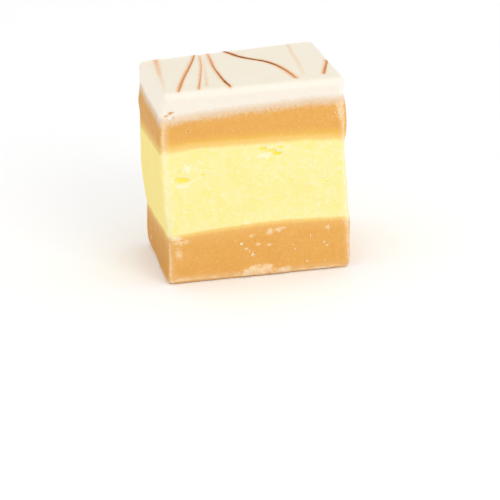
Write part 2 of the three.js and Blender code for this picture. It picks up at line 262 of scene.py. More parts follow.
def outline_columns():
    """Each column's place on the core's outline, its angle, and its distance from the nearest
    upright edge. They go round from the front left corner."""
    cores, angles, edge = [], [], []
    for side, cells in enumerate((CELLS_ACROSS, CELLS_DEEP, CELLS_ACROSS, CELLS_DEEP)):
        start, end = CORE_CORNERS[side], CORE_CORNERS[(side + 1) % 4]
        length = np.linalg.norm(end - start)
        facing = math.pi / 2 * (side - 1)
        for n in range(cells):
            cores.append(start + (end - start) * n / cells)
            angles.append(facing)
            edge.append(CORE_DEPTH + length * min(n, cells - n) / cells)
        for n in range(TURN_CELLS):
            turn = math.pi / 2 * n / TURN_CELLS
            cores.append(end)
            angles.append(facing + turn)
            edge.append(CORE_DEPTH * math.tan(abs(turn - math.pi / 4)))
    return np.array(cores), np.array(angles), np.array(edge)


def profile_rows():
    """Each row's core height, its upward tilt, and its distance from the foot's edge or the
    top's, whichever is nearer."""
    turn = np.linspace(0, math.pi / 2, TURN_CELLS + 1)
    side = np.arange(CORE_LOW[2] + STEP, CORE_HIGH[2] - STEP / 2, STEP)
    height = np.concatenate([0 * turn + CORE_LOW[2], side, 0 * turn + CORE_HIGH[2]])
    tilt = np.concatenate([turn - math.pi / 2, np.zeros(len(side)), turn])
    to_edge = np.minimum(side - CORE_LOW[2], CORE_HIGH[2] - side) + CORE_DEPTH
    fan = CORE_DEPTH * np.tan(np.abs(turn - math.pi / 4))
    return height, tilt, np.concatenate([fan, to_edge, fan])


def directions_of(angle, tilt):
    flat = np.cos(tilt)
    return np.stack([flat * np.cos(angle), flat * np.sin(angle), np.sin(tilt)], axis=-1)


TREE, LAYER_OF = tree_of((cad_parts[name], number) for number, name in enumerate(LAYERS))
CORE_CORNERS = np.array((
    CORE_LOW[:2],
    (CORE_HIGH[0], CORE_LOW[1]),
    (CORE_HIGH[0], back_of_core(CORE_HIGH[0])),
    (CORE_LOW[0], back_of_core(CORE_LOW[0])),
))
CELLS_ACROSS, CELLS_DEEP = (round(length / STEP) for length in (CORE_HIGH - CORE_LOW)[:2])
TURN_CELLS = round(math.pi / 2 * CORE_DEPTH / STEP)  # cells round an edge
COLUMN_CORE, COLUMN_ANGLE, COLUMN_EDGE = outline_columns()
ROW_HEIGHT, ROW_TILT, ROW_EDGE = profile_rows()
COLUMNS, ROWS = len(COLUMN_ANGLE), len(ROW_TILT)


def seam_wander(seed):
    """Noise round the block, with lumps of about 1.5 mm and finer ones on them."""
    around = np.stack([np.cos(COLUMN_ANGLE), np.sin(COLUMN_ANGLE)], axis=1) * CORE_DEPTH
    places = np.column_stack([COLUMN_CORE + around, np.full(COLUMNS, 10.0 * seed)])
    return grain(places, 1.5, seed) + 0.5 * grain(places, 0.5, seed)


def core_of(rows):
    """Core points and outward directions at fractional rows[i, j] of every column."""
    core = np.empty(rows.shape + (3,))
    core[..., :2] = COLUMN_CORE[:, None, :]
    core[..., 2] = np.interp(rows, np.arange(ROWS), ROW_HEIGHT)
    tilt = np.interp(rows, np.arange(ROWS), ROW_TILT)
    return core, directions_of(COLUMN_ANGLE[:, None], tilt)


def round_skin():
    """The CAD skin's distance from the core for every column and row, and the seams' rows."""
    cores, outward = core_of(np.tile(np.arange(ROWS), (COLUMNS, 1)))
    distance, layer = cast(cores, outward)
    distance = blur(blur(distance, FACET_BLUR, 0, True), FACET_BLUR, 1, False)
    seams = [np.zeros(COLUMNS)]
    for number, wobble in enumerate(SEAM_WOBBLE, start=1):
        row = blur((layer < number).sum(axis=1) - 0.5, SEAM_BLUR, 0, True)
        seams.append(row + wobble / STEP * seam_wander(number))
    seams.append(np.full(COLUMNS, ROWS - 1.0))
    return distance, seams


def sample(field, rows):
    """A field of the grid at fractional rows of every column."""
    low = np.clip(np.floor(rows).astype(int), 0, ROWS - 2)
    part = rows - low
    first = np.take_along_axis(field, low, axis=1)
    second = np.take_along_axis(field, low + 1, axis=1)
    return first * (1 - part) + second * part


SKIN, SEAM_ROWS = round_skin()


def points_round(rows):
    """Places on the skin, and outward directions, at fractional rows of every column."""
    core, outward = core_of(rows)
    points = core + outward * sample(SKIN, rows)[..., None]
    points[..., 2] = np.maximum(points[..., 2], 0)
    return points, outward


SEAM_Z = np.stack([points_round(rows[:, None])[0][:, 0, 2] for rows in SEAM_ROWS[1:4]], axis=1)

# ---- Relief of the cut and torn fudge


def axis_of(side):
    """The axis that a side runs along: 0 for X and 1 for Y."""
    return 0 if side in ("front", "back") else 1


def scatter_marks(rng):
    """Adds marks like the front's on the sides that have few or no named ones."""
    def draw(span):
        return rng.uniform(*span)

    def height(spans):
        return rng.choice([draw(span) for span in spans])

    def mark_on(side, ranges, **known):
        half = HIGH[axis_of(side)] - FROM_CORNER
        along = draw((-half, half))
        return Mark(side, along, **known, **{key: draw(span) for key, span in ranges.items()})

    for side, (pits, patches, crumbs, clusters) in SCATTERED.items():
        for _ in range(pits):
            pit = mark_on(side, PIT_RANGES)
            along, up = pit.along + draw((-1, 1)), pit.up + draw((0.4, 1))
            PITS.append(pit)
            CLUSTERS.append(Mark(side, along, up, 0.6 * pit.wide, 0.6, 5 + 3 * pit.wide))
        for _ in range(patches):
            PATCHES.append(mark_on(side, PATCH_RANGES, up=height(PATCH_HEIGHTS)))
        for _ in range(crumbs):
            known = {"wide": draw(CRUMB_RANGE), "tall": draw(CRUMB_RANGE), "amount": CRUMB_THICK}
            CRUMBS.append(mark_on(side, {}, up=height(CRUMB_HEIGHTS), **known))
        for _ in range(clusters):
            CLUSTERS.append(mark_on(side, CLUSTER_RANGES))


PITS, PATCHES, CLUSTERS = list(FRONT_PITS), list(FRONT_PATCHES), list(FRONT_CLUSTERS)
CRUMBS = [*FRONT_CRUMBS, *LEFT_CRUMBS]
scatter_marks(np.random.default_rng(MARK_SEED))


def from_mark(mark, points, outward):
    """How far points are from a mark's middle: 1 on its outline, and endless off its side."""
    axis = axis_of(mark.side)
    along = points[:, axis] - BLOCK_MIDDLE[axis] - mark.along
    away = np.hypot(along / (mark.wide / 2), (points[:, 2] - mark.up) / (mark.tall / 2))
    return np.where(outward[:, :2] @ np.array(SIDES[mark.side]) > 0.6, away, np.inf)


def small_pits(rng):
    """The yellow layer's small pits, each as its place on the skin, its radius and its depth."""
    pits = []
    for _ in range(SMALL_PITS):
        column = rng.integers(COLUMNS)
        share = rng.uniform(*SMALL_PIT_SHARE)
        row = SEAM_ROWS[1][column] * (1 - share) + SEAM_ROWS[2][column] * share
        place = points_round(np.full((COLUMNS, 1), row))[0][column, 0]
        pits.append((place, rng.uniform(*SMALL_PIT_RADIUS), rng.uniform(*SMALL_PIT_DEPTH)))
    return pits


def pits_in(points, outward):
    """How deep each point lies in a pit, and how torn the fudge is round it, from 0 to 1."""
    ragged = 0.55 * grain(points, 0.35, 3) + 0.45 * grain(points, 0.9, 4)
    depth = np.zeros(len(points))
    torn = np.zeros(len(points))
    for pit in PITS:
        away = from_mark(pit, points, outward) + ragged
        depth = np.maximum(depth, pit.amount * (1 - smoothstep(away, 0.5, 1.1)))
        torn = np.maximum(torn, smoothstep(away, 0.8, 1.2) * (1 - smoothstep(away, 1.2, 2.2)))
    for place, radius, deep in small_pits(np.random.default_rng(PIT_SEED)):
        away = np.linalg.norm((points - place) * (0.7, 0.7, 1.6), axis=1) / radius + ragged
        depth = np.maximum(depth, deep * (1 - smoothstep(away, 0.4, 1.1)))
    broken = smoothstep(grain(points, 0.6, 13), -0.25, 0.35)
    return depth, torn * broken * (1 - smoothstep(depth, 0.0, 0.1))


def pale_patches(points, outward):
    """How strongly each point is covered by pale dust or smeared fudge, from 0 to 1."""
    ragged = 0.4 * grain(points, 0.3, 6) + 0.3 * grain(points, 0.8, 7)
    pale = np.zeros(len(points))
    for patch in PATCHES:
        away = from_mark(patch, points, outward) + ragged
        pale = np.maximum(pale, patch.amount * (1 - smoothstep(away, 0.15, 1.4)))
    return pale


def front_left_rim_wear_and_highlight(points, outward):
    """How pale the front left edge is, from 0 to 1, with a soft fade over the front: partly
    crumbly wear, partly a painted highlight along the edge.
    """
    turn = (np.arctan2(outward[:, 1], outward[:, 0]) + 1.75 * math.pi) % (2 * math.pi) - math.pi
    from_edge = CORE_DEPTH * np.tan(np.clip(turn, -math.pi / 4, math.pi / 4))
    rim = 1 - smoothstep(np.abs(from_edge - 0.15), 0.05, 0.5)
    fade = (1 - smoothstep(from_edge, 0.1, CORE_DEPTH)) * (from_edge > 0)
    return np.maximum(rim * (0.8 + 0.5 * grain(points, 0.7, 14)), 0.4 * fade)


def painted_side_shading(outward):
    """1 on the left side and the back, 0 on the front, the right side and the top: where the
    paints lay painted light and shade.
    """
    level = np.hypot(outward[:, 0], outward[:, 1])
    turned = (outward[:, 1] - outward[:, 0]) / np.maximum(level, 0.01)
    return smoothstep(turned, 0.0, 0.2) * smoothstep(level, 0.1, 0.7)


def relief(points, outward, above, edge):
    """How far each point stands out of the smooth skin, and how pitted, torn and pale it is."""
    fine = grain(points, 0.42, 1)
    coarse = grain(points, 1.7, 2)
    drags = grain(points, 0.8, 5, stretch=(1.6, 1.6, 0.55))
    over_base, over_yellow, in_white = smoothstep(above, -SEAM_SOFTNESS, SEAM_SOFTNESS).T
    in_yellow = over_base * (1 - over_yellow)
    on_top = smoothstep(outward[:, 2], 0.6, 0.95)
    amount_fine = 0.016 + 0.016 * in_yellow + 0.012 * in_white
    amount_coarse = 0.03 + 0.015 * in_yellow
    side = amount_fine * fine + amount_coarse * coarse + 0.012 * drags
    top = 0.01 * coarse + 0.003 * fine
    depth, torn = pits_in(points, outward)
    pale = pale_patches(points, outward)
    chips = smoothstep(grain(points, 0.9, 8), 0.0, 0.5) * (1 - smoothstep(edge, 0.1, 0.8))
    chips *= CHIP_DEPTH * (1 - 0.6 * in_white)
    out = side * (1 - on_top) + top * on_top - depth - chips
    out += (0.04 * torn + 0.1 * pale ** 2) * (0.6 + grain(points, 0.3, 12))
    off_floor = smoothstep(points[:, 2], 0.05, 0.55)
    return out * off_floor, depth, torn, pale


# ---- Skins of the layers


class Skin:
    """The points and faces of one layer's closed mesh, with values for its material."""

    def __init__(self):
        self.rows, self.faces, self.count = [], [], 0

    def add(self, points, outward, above, edge):
        """Adds points, with their heights above the seams and their distances from the nearest
        edge. Returns their numbers in the same grid form."""
        numbers = self.count + np.arange(points[..., 0].size).reshape(points.shape[:-1])
        self.count += numbers.size
        rows = np.empty((*numbers.shape, 10))
        rows[..., :3], rows[..., 3:6], rows[..., 6:9], rows[..., 9] = points, outward, above, edge
        self.rows.append(rows.reshape(-1, 10))
        return numbers

    def quads(self, numbers, around, flip=False):
        """Joins a grid of numbers into quads, closed round its first axis if `around`."""
        after = np.roll(numbers, -1, axis=0)
        if not around:
            numbers, after = numbers[:-1], numbers[1:]
        quads = np.stack([numbers[:, :-1], after[:, :-1], after[:, 1:], numbers[:, 1:]], axis=-1)
        if flip:
            quads = quads[..., ::-1]
        self.faces.extend(quads.reshape(-1, 4).tolist())


def add_sides(skin, number):
    """The rows of a layer round the block. Returns their numbers and places."""
    low, high = SEAM_ROWS[number], SEAM_ROWS[number + 1]
    cells = max(2, round(float(np.mean(high - low))))
    share = np.linspace(0, 1, cells + 1)
    rows = low[:, None] * (1 - share) + high[:, None] * share
    points, outward = points_round(rows)
    edge = np.minimum(COLUMN_EDGE[:, None], np.interp(rows, np.arange(ROWS), ROW_EDGE))
    numbers = skin.add(points, outward, points[..., 2:] - SEAM_Z[:, None], edge)
    skin.quads(numbers, around=True)
    return numbers, points


def add_hidden_cap(skin, ring_numbers, ring_points, facing):
    """The flat inside face at a seam, as rings that shrink to its centre. It faces up (1) or
    down (-1)."""
    centre = ring_points.mean(axis=0)
    share = np.arange(1, CAP_RINGS) / CAP_RINGS
    points = ring_points[:, None, :] + (centre - ring_points)[:, None, :] * share[:, None]
    numbers = skin.add(points, (0, 0, facing), 0, CORE_DEPTH)
    middle = skin.add(centre[None, None, :], (0, 0, facing), 0, CORE_DEPTH)[0, 0]
    grid = np.concatenate([ring_numbers[:, None], numbers], axis=1)
    skin.quads(grid, around=True, flip=facing < 0)
    for here, there in zip(grid[:, -1], np.roll(grid[:, -1], -1)):
        skin.faces.append([here, there, middle] if facing > 0 else [there, here, middle])


def cap_grid(height):
    """Places of a fine grid over the core, at one height."""
    across = np.linspace(0, 1, CELLS_ACROSS + 1)[:, None, None]
    deep = np.linspace(0, 1, CELLS_DEEP + 1)[None, :, None]
    front_left, front_right, back_right, back_left = CORE_CORNERS
    front = front_left * (1 - across) + front_right * across
    back = back_left * (1 - across) + back_right * across
    grid = np.full((CELLS_ACROSS + 1, CELLS_DEEP + 1, 3), float(height))
    grid[..., :2] = front * (1 - deep) + back * deep
    return grid


def set_top_rim(height):
    """Gives the rim of the top the heights of the skin's last row, and carries the difference
    softly inward."""
    points, _ = points_round(np.full((COLUMNS, 1), ROWS - 1.0))
    wanted = height.copy()
    place = 0
    for line in (wanted[:, 0], wanted[-1, :], wanted[::-1, -1], wanted[0, ::-1]):
        cells = len(line) - 1
        line[:cells] = points[place:place + cells, 0, 2]
        place += cells + TURN_CELLS
    off = wanted - height
    across, deep = (np.arange(count) * STEP for count in height.shape)
    left, right = (1 - smoothstep(away, 0, CAP_BLEND)[:, None] for away in (across, across[::-1]))
    front, back = (1 - smoothstep(away, 0, CAP_BLEND)[None, :] for away in (deep, deep[::-1]))
    off_x = left * off[:1, :] + right * off[-1:, :]
    off_y = front * off[:, :1] + back * off[:, -1:]
    corners = left * (front * off[0, 0] + back * off[0, -1])
    corners += right * (front * off[-1, 0] + back * off[-1, -1])
    return height + off_x + off_y - corners


def top_heights():
    """Height of the top over the core, without the narrow ridges of the chocolate lines."""
    grid = cap_grid(CORE_HIGH[2])
    up = np.broadcast_to(np.array([0.0, 0.0, 1.0]), grid.shape)
    distance, _ = cast(grid, up)
    height = lowest_over(CORE_HIGH[2] + distance, RIDGE_CELLS)
    return blur(blur(height, 2 * FACET_BLUR, 0, False), 2 * FACET_BLUR, 1, False)


def lowest_over(height, cells):
    """The lowest value within a few cells of each place."""
    for axis in (0, 1):
        pad = [(0, 0), (0, 0)]
        pad[axis] = (cells, cells)
        windows = sliding_window_view(np.pad(height, pad, mode="edge"), 2 * cells + 1, axis=axis)
        height = windows.min(axis=-1)
    return height


def add_flat(skin, grid, facing, edge):
    """The top, which faces up (1), or the foot, which faces down (-1)."""
    above = grid[..., 2:] - [z.mean() for z in SEAM_Z.T]
    numbers = skin.add(grid, (0, 0, facing), above, edge)
    skin.quads(numbers, around=False, flip=facing < 0)


def add_top(skin):
    grid = cap_grid(0)
    grid[..., 2] = set_top_rim(top_heights())
    to_rim = np.minimum.reduce([grid[..., 0] - CORE_LOW[0], CORE_HIGH[0] - grid[..., 0],
                                grid[..., 1] - CORE_LOW[1], grid[:, -1:, 1] - grid[..., 1]])
    add_flat(skin, grid, 1, CORE_DEPTH + to_rim)


def layer_skin(number):
    skin = Skin()
    numbers, points = add_sides(skin, number)
    if number == BASE:
        add_flat(skin, cap_grid(0), -1, CORE_DEPTH)
    else:
        add_hidden_cap(skin, numbers[:, 0], points[:, 0], -1)
    if number == WHITE:
        add_top(skin)
    else:
        add_hidden_cap(skin, numbers[:, -1], points[:, -1], 1)
    return skin


def line_curve(points):
    """Points on a smooth curve through plan points, and how far along it each is, from 0 to 1."""
    way = [BLOCK_MIDDLE + point for point in points]
    way = [2 * way[0] - way[1], *way, 2 * way[-1] - way[-2]]
    curve = []
    for a, b, c, d in zip(way, way[1:], way[2:], way[3:]):
        count = max(2, round(np.linalg.norm(c - b) / LINE_STEP))
        for t in np.linspace(0, 1, count, endpoint=False):
            curve.append(0.5 * (2 * b + (c - a) * t + (2 * a - 5 * b + 4 * c - d) * t ** 2
                                + (3 * b - a - 3 * c + d) * t ** 3))
    curve.append(way[-2])
    return np.array(curve), np.linspace(0, 1, len(curve))


def line_stain(points, outward):
    """How strongly the fudge is stained brown beside the chocolate lines, from 0 to 1."""
    stain = np.zeros(len(points))
    top = np.flatnonzero(outward[:, 2] > 0.5)
    wobble = 0.1 * grain(points[top], 1.1, 9)
    for line in LINES:
        curve, share = line_curve(line.points)
        nearest = np.full(len(top), np.inf)
        part = np.zeros(len(top))
        for place, share_here in zip(curve, share):
            away = np.linalg.norm(points[top, :2] - place - STAIN_OFFSET, axis=1)
            part = np.where(away < nearest, share_here, part)
            nearest = np.minimum(nearest, away)
        soft = np.exp(-((nearest + wobble) / np.interp(part, (0, 1), line.halo)) ** 2)
        stain[top] = np.maximum(stain[top], np.interp(part, (0, 1), line.stain) * soft)
    return stain


def make_layer(number):
    name = LAYERS[number]
    skin = layer_skin(number)
    rows = np.concatenate(skin.rows)
    points, outward, above, edge = rows[:, :3], rows[:, 3:6], rows[:, 6:9], rows[:, 9]
    out, depth, torn, pale = relief(points, outward, above, edge)
    moved = points + outward * out[:, None]
    values = {
        "above_seam": above[:, number - 1] if number > BASE else points[:, 2],
        "below_seam": -above[:, number] if number < WHITE else HIGH[2] - points[:, 2],
        "edge": edge, "pit": depth, "torn": torn, "pale": pale,
        "rim": front_left_rim_wear_and_highlight(points, outward),
        "painted_side_shading": painted_side_shading(outward),
    }
    if number == WHITE:
        values["stain"] = line_stain(points, outward)
        values["upward"] = outward[:, 2]
    mesh = make_mesh(f"{name}_skin", (moved * MM).tolist(), skin.faces, values)
    join_doubles(mesh)
    mesh.set_sharp_from_angle(angle=SHARP_ANGLE)
    return make_piece(f"{name}_skin", mesh, LAYER_PAINT[number](), name)


def make_mesh(name, points, faces, values=None):
    """A smooth mesh from points in metres, with named values at every point."""
    mesh = bpy.data.meshes.new(name)
    mesh.from_pydata(points, [], faces)
    for key, value in (values or {}).items():
        attribute = mesh.attributes.new(key, "FLOAT", "POINT")
        attribute.data.foreach_set("value", np.asarray(value, dtype=np.float32))
    mesh.shade_smooth()
    return mesh


def add_object(name, data):
    made = bpy.data.objects.new(name, data)
    bpy.context.collection.objects.link(made)
    return made


def make_piece(name, mesh, material, replaced=None):
    """A piece of the object, which rides on its one body."""
    mesh.materials.append(material)
    piece = add_object(name, mesh)
    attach(piece, "root")
    if replaced:
        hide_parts(replaced)
    return piece


def join_doubles(mesh):
    """Joins points that lie on each other, as at the top's corners."""
    build = bmesh.new()
    build.from_mesh(mesh)
    bmesh.ops.remove_doubles(build, verts=build.verts, dist=JOIN_WITHIN * MM)
    build.to_mesh(mesh)
    build.free()


# ---- Materials


def srgb(red, green, blue):
    """A colour that is given from 0 to 255 as the eye reads it, in linear values."""
    def linear(value):
        share = value / 255
        return share / 12.92 if share <= 0.04045 else ((share + 0.055) / 1.055) ** 2.4
    return (linear(red), linear(green), linear(blue), 1.0)


class Paint:
    """A material whose colour is built up in coats on a ground colour."""

    def __init__(self, name, ground, roughness, specular=0.12):
        self.colour = ground
        self.material = bpy.data.materials.new(name)
        self.material.use_nodes = True
        self.tree = self.material.node_tree
        self.shader = self.tree.nodes["Principled BSDF"]
        self.feed(self.shader.inputs["Roughness"], roughness)
        self.feed(self.shader.inputs["Specular IOR Level"], specular)
        self.place = self.node("ShaderNodeTexCoord").outputs["Object"]

    def node(self, kind, inputs=None, **settings):
        """A new node with its settings, whose inputs are fed by name or number."""
        made = self.tree.nodes.new(kind)
        for key, value in settings.items():
            setattr(made, key, value)
        for key, value in (inputs or {}).items():
            self.feed(made.inputs[key], value)
        return made

    def feed(self, socket, value):
        """Gives a socket a number or colour, another socket, or a named value of the mesh."""
        if isinstance(value, str):
            value = self.node("ShaderNodeAttribute", attribute_name=value).outputs["Fac"]
        if isinstance(value, bpy.types.NodeSocket):
            self.tree.links.new(value, socket)
        else:
            socket.default_value = value

    def noise(self, size, seed, detail=2.0, stretch=(1, 1, 1)):
        """Noise around 0.5 whose lumps are about `size` mm across."""
        scale = [1 / (size * MM * s) for s in stretch]
        place = {"Vector": self.place, "Location": (seed, seed * 0.7, seed * 0.3), "Scale": scale}
        shifted = self.node("ShaderNodeMapping", place).outputs["Vector"]
        inputs = {"Vector": shifted, "Scale": 1.0, "Detail": detail}
        return self.node("ShaderNodeTexNoise", inputs).outputs["Fac"]

    def math(self, operation, *values):
        inputs = dict(enumerate(values))
        return self.node("ShaderNodeMath", inputs, operation=operation).outputs[0]

    def ramp(self, value, start, end, most=1.0):
        """A smooth step from 0 to `most` as the value goes from start to end."""
        inputs = {"Value": value, "From Min": start, "From Max": end, "To Max": most}
        made = self.node("ShaderNodeMapRange", inputs, interpolation_type="SMOOTHSTEP")
        return made.outputs["Result"]

    def mix(self, share, first, second):
        inputs = {0: share, 6: first, 7: second}
        return self.node("ShaderNodeMix", inputs, data_type="RGBA").outputs[2]

    def tint(self, colour, share):
        """Lays a colour over what is there, where the share is 1, and less where it is lower."""
        self.colour = self.mix(share, self.colour, colour)

    def coat(self, colour, value, start, end, most=1.0):
        """Lays a colour over what is there as a value goes from start to end."""
        self.tint(colour, self.ramp(value, start, end, most))

    def seam(self, colour, height, reach, ragged, amount=1.4, most=1.0):
        """Lays a colour up to a reach in mm from a seam, which ragged noise makes uneven."""
        uneven = self.math("MULTIPLY_ADD", ragged, amount, 1 - amount / 2)
        self.coat(colour, self.math("DIVIDE", height, uneven), reach, 0.0, most)

    def wear_and_highlight(self, colour, seeds, rim, torn, smeared):
        """Lays a pale colour, broken up, on the edges and faintly beside them, on the front left
        rim, where it is partly a painted highlight,
         round torn places, and in streaks where fudge is smeared, at their strengths."""
        patchy = self.noise(0.7, seeds[0], detail=3)
        broken = self.ramp(self.math("MULTIPLY_ADD", patchy, 0.9, "edge"), 0.85, 0.45, 0.7)
        worn = self.math("MAXIMUM", broken, self.ramp("edge", 1.2, 0.2, 0.2))
        # On the front left rim the pale colour is partly wear and partly a painted highlight.
        self.tint(colour, self.math("MAXIMUM", worn, self.math("MULTIPLY", "rim", rim)))
        self.coat(colour, "torn", 0.1, 0.9, torn)
        streaks = self.noise(0.4, seeds[1], detail=4, stretch=(1.6, 1.6, 0.7))
        cover = self.ramp(self.math("MULTIPLY_ADD", streaks, 1.4, "pale"), 0.75, 1.5, smeared)
        self.tint(colour, self.math("MULTIPLY", cover, self.ramp("pale", 0.0, 0.3)))

    def finish(self, height, depth_mm):
        """The material, with a bump whose full range is depth_mm."""
        self.feed(self.shader.inputs["Base Color"], self.colour)
        inputs = {"Strength": 1.0, "Distance": depth_mm * MM, "Height": height}
        bump = self.node("ShaderNodeBump", inputs)
        self.feed(self.shader.inputs["Normal"], bump.outputs["Normal"])
        return self.material


# Colours as the eye reads them under an even light, from 0 to 255. The colours for the left side
# and the back are painted light and shade: lighter yellow and white, and a darker caramel.
YELLOW_FUDGE = srgb(232, 221, 145)
YELLOW_CREAM = srgb(233, 223, 155)
YELLOW_PALE = srgb(234, 226, 172)
YELLOW_DEEP = srgb(230, 219, 120)
YELLOW_SIDE_PAINTED_LIGHT = srgb(248, 228, 139)
PAINTED_PIT_YELLOW = srgb(236, 218, 70)
FLECK_YELLOW = srgb(231, 225, 108)
TORN_YELLOW = srgb(236, 231, 196)
CARAMEL_FUDGE = srgb(218, 163, 85)
CARAMEL_DULL = srgb(216, 159, 81)
CARAMEL_PALE = srgb(223, 172, 100)
CARAMEL_DEEP = srgb(212, 154, 76)
CARAMEL_SIDE_PAINTED_SHADE = srgb(214, 154, 62)
CARAMEL_SHADED = srgb(194, 134, 46)
CARAMEL_SMEAR = srgb(236, 208, 168)
PAINTED_PIT_CARAMEL = srgb(208, 142, 62)
WHITE_FUDGE = srgb(228, 219, 205)
WHITE_GRAINY = srgb(229, 221, 209)
WHITE_SIDE_PAINTED_LIGHT = srgb(243, 233, 216)
WHITE_POLISHED = srgb(232, 223, 202)
WHITE_CREAM = srgb(233, 225, 206)
WHITE_DUST = srgb(233, 226, 212)
YELLOW_SEAM = srgb(230, 191, 111)  # where caramel and yellow fudge have run into each other
CARAMEL_PAINTED_GLOW = srgb(226, 178, 82)  # painted light: caramel made brighter and more orange near the yellow layer, as light from it glows through
WHITE_SEAM = srgb(219, 196, 168)  # where white fudge and caramel have run into each other
CHOCOLATE_DARK = srgb(150, 88, 42)
CHOCOLATE_THIN = srgb(214, 145, 80)
CHOCOLATE_STAIN = srgb(226, 156, 84)


def yellow_paint():
    paint = Paint("yellow_fudge", YELLOW_FUDGE, roughness=0.62)
    grainy = paint.noise(0.95, seed=1)
    fine = paint.noise(0.42, seed=2)
    broad = paint.noise(4.0, seed=3)
    flecks = paint.noise(0.6, seed=16, stretch=(1.25, 1.25, 0.8))
    paint.coat(YELLOW_CREAM, broad, 0.35, 0.65)
    paint.coat(TORN_YELLOW, flecks, 0.58, 0.72, 0.65)
    paint.coat(FLECK_YELLOW, flecks, 0.4, 0.26, 0.55)
    paint.coat(YELLOW_PALE, grainy, 0.52, 0.75, 0.5)
    paint.coat(YELLOW_DEEP, grainy, 0.46, 0.28, 0.35)
    paint.coat(TORN_YELLOW, fine, 0.62, 0.74, 0.2)
    # Painted light on the left side and the back: the yellow is made lighter and warmer there.
    paint.tint(YELLOW_SIDE_PAINTED_LIGHT, paint.math("MULTIPLY", "painted_side_shading", 0.85))
    paint.seam(YELLOW_SEAM, "below_seam", 0.9, broad)
    paint.seam(YELLOW_SEAM, "above_seam", 0.5, grainy)
    paint.wear_and_highlight(TORN_YELLOW, seeds=(4, 17), rim=0.65, torn=0.6, smeared=1.0)
    # Painted light and shade in the pits: a deep, saturated yellow that grows with their depth.
    paint.coat(PAINTED_PIT_YELLOW, "pit", 0.0, 0.13, 0.9)
    return paint.finish(paint.math("MULTIPLY_ADD", fine, 0.6, grainy), 0.05)


def caramel_paint(name):
    """A paint of plain caramel fudge, with its fine grain and its broad noise."""
    paint = Paint(name, CARAMEL_FUDGE, roughness=0.5)
    grainy = paint.noise(0.45, seed=5, detail=3)
    broad = paint.noise(3.0, seed=6, detail=3)
    paint.coat(CARAMEL_DULL, broad, 0.35, 0.65)
    paint.coat(CARAMEL_PALE, grainy, 0.5, 0.72, 0.45)
    paint.coat(CARAMEL_DEEP, grainy, 0.5, 0.3, 0.45)
    paint.coat(CARAMEL_SMEAR, paint.noise(0.3, seed=7, detail=1), 0.68, 0.78, 0.5)
    # Painted shade on the left side and the back: the caramel is made darker there.
    paint.tint(CARAMEL_SIDE_PAINTED_SHADE, paint.math("MULTIPLY", "painted_side_shading", 0.8))
    return paint, grainy, broad


def caramel_finish(paint, grainy, rim):
    """The caramel's material, with wear, smears and pits over its colour."""
    paint.wear_and_highlight(CARAMEL_SMEAR, seeds=(8, 18), rim=rim, torn=0.4, smeared=0.85)
    # Painted shade: the caramel darkens in its pits, by their depth.
    paint.coat(PAINTED_PIT_CARAMEL, "pit", 0.02, 0.1)
    return paint.finish(grainy, 0.06)


def caramel_base_paint():
    paint, grainy, _ = caramel_paint("caramel_fudge_base")
    # Painted shade: on the left side and the back the caramel darkens towards the foot.
    low = paint.ramp("above_seam", 9.0, 0.0, 0.6)
    paint.tint(CARAMEL_SHADED, paint.math("MULTIPLY", "painted_side_shading", low))
    paint.coat(CARAMEL_PALE, "above_seam", 1.8, 0.3, 0.7)
    paint.coat(CARAMEL_PALE, "below_seam", 2.2, 0.2, 0.7)
    paint.seam(YELLOW_SEAM, "below_seam", 0.6, grainy)
    return caramel_finish(paint, grainy, rim=0.4)


def white_seam_drag(paint):
    """Noise in which the knife has dragged the white seam, the same in both its layers, and
    how far in mm it moves the seam."""
    dragged = paint.noise(0.45, seed=9, detail=4, stretch=(1, 1, 1.3))
    return dragged, paint.math("MULTIPLY_ADD", dragged, 1.2, -0.6)


def caramel_upper_paint():
    paint, grainy, broad = caramel_paint("caramel_fudge_upper")
    dragged, shift = white_seam_drag(paint)
    # Painted light: a brighter, more orange band in the caramel just above the yellow layer.
    paint.seam(CARAMEL_PAINTED_GLOW, "above_seam", 2.0, broad)
    paint.seam(YELLOW_SEAM, "above_seam", 0.9, grainy)
    below = paint.math("SUBTRACT", "below_seam", shift)
    paint.seam(WHITE_SEAM, below, 1.55, dragged, 0.8)
    return caramel_finish(paint, grainy, rim=0.8)


def white_paint():
    paint = Paint("white_fudge", WHITE_FUDGE, roughness=0.45, specular=0.2)
    grainy = paint.noise(0.5, seed=10, detail=3)
    broad = paint.noise(4.0, seed=11)
    dragged, shift = white_seam_drag(paint)
    paint.coat(WHITE_GRAINY, grainy, 0.35, 0.65)
    top = paint.mix(paint.ramp(broad, 0.3, 0.7), WHITE_POLISHED, WHITE_CREAM)
    paint.coat(top, "upward", 0.75, 1.0)
    paint.coat(WHITE_DUST, "edge", 1.1, 0.2, 0.8)
    # Painted light on the left side and the back: the white is made lighter there.
    paint.tint(WHITE_SIDE_PAINTED_LIGHT, "painted_side_shading")
    above = paint.math("ADD", "above_seam", shift)
    paint.seam(WHITE_SEAM, above, 0.9, dragged, 0.9, 0.75)
    paint.coat(WHITE_DUST, "torn", 0.1, 0.9)
    # Painted shade: the white darkens to a caramel brown in its pits, by their depth.
    paint.coat(CARAMEL_DEEP, "pit", 0.03, 0.12)
    paint.tint(CHOCOLATE_STAIN, "stain")
    return paint.finish(grainy, 0.02)


def chocolate_paint():
    paint = Paint("chocolate_line", CHOCOLATE_THIN, roughness=0.45, specular=0.04)
    patchy = paint.math("MULTIPLY_ADD", paint.noise(1.2, seed=13), 0.5, -0.25)
    paint.coat(CHOCOLATE_DARK, paint.math("ADD", "dark", patchy), 0.0, 1.0)
    return paint.finish(paint.noise(0.3, seed=14), 0.01)


def crumb_paint(name, colour, pale):
    paint = Paint(name, colour, roughness=0.6)
    patchy = paint.noise(0.3, seed=15)
    paint.coat(pale, patchy, 0.35, 0.65)
    return paint.finish(patchy, 0.03)


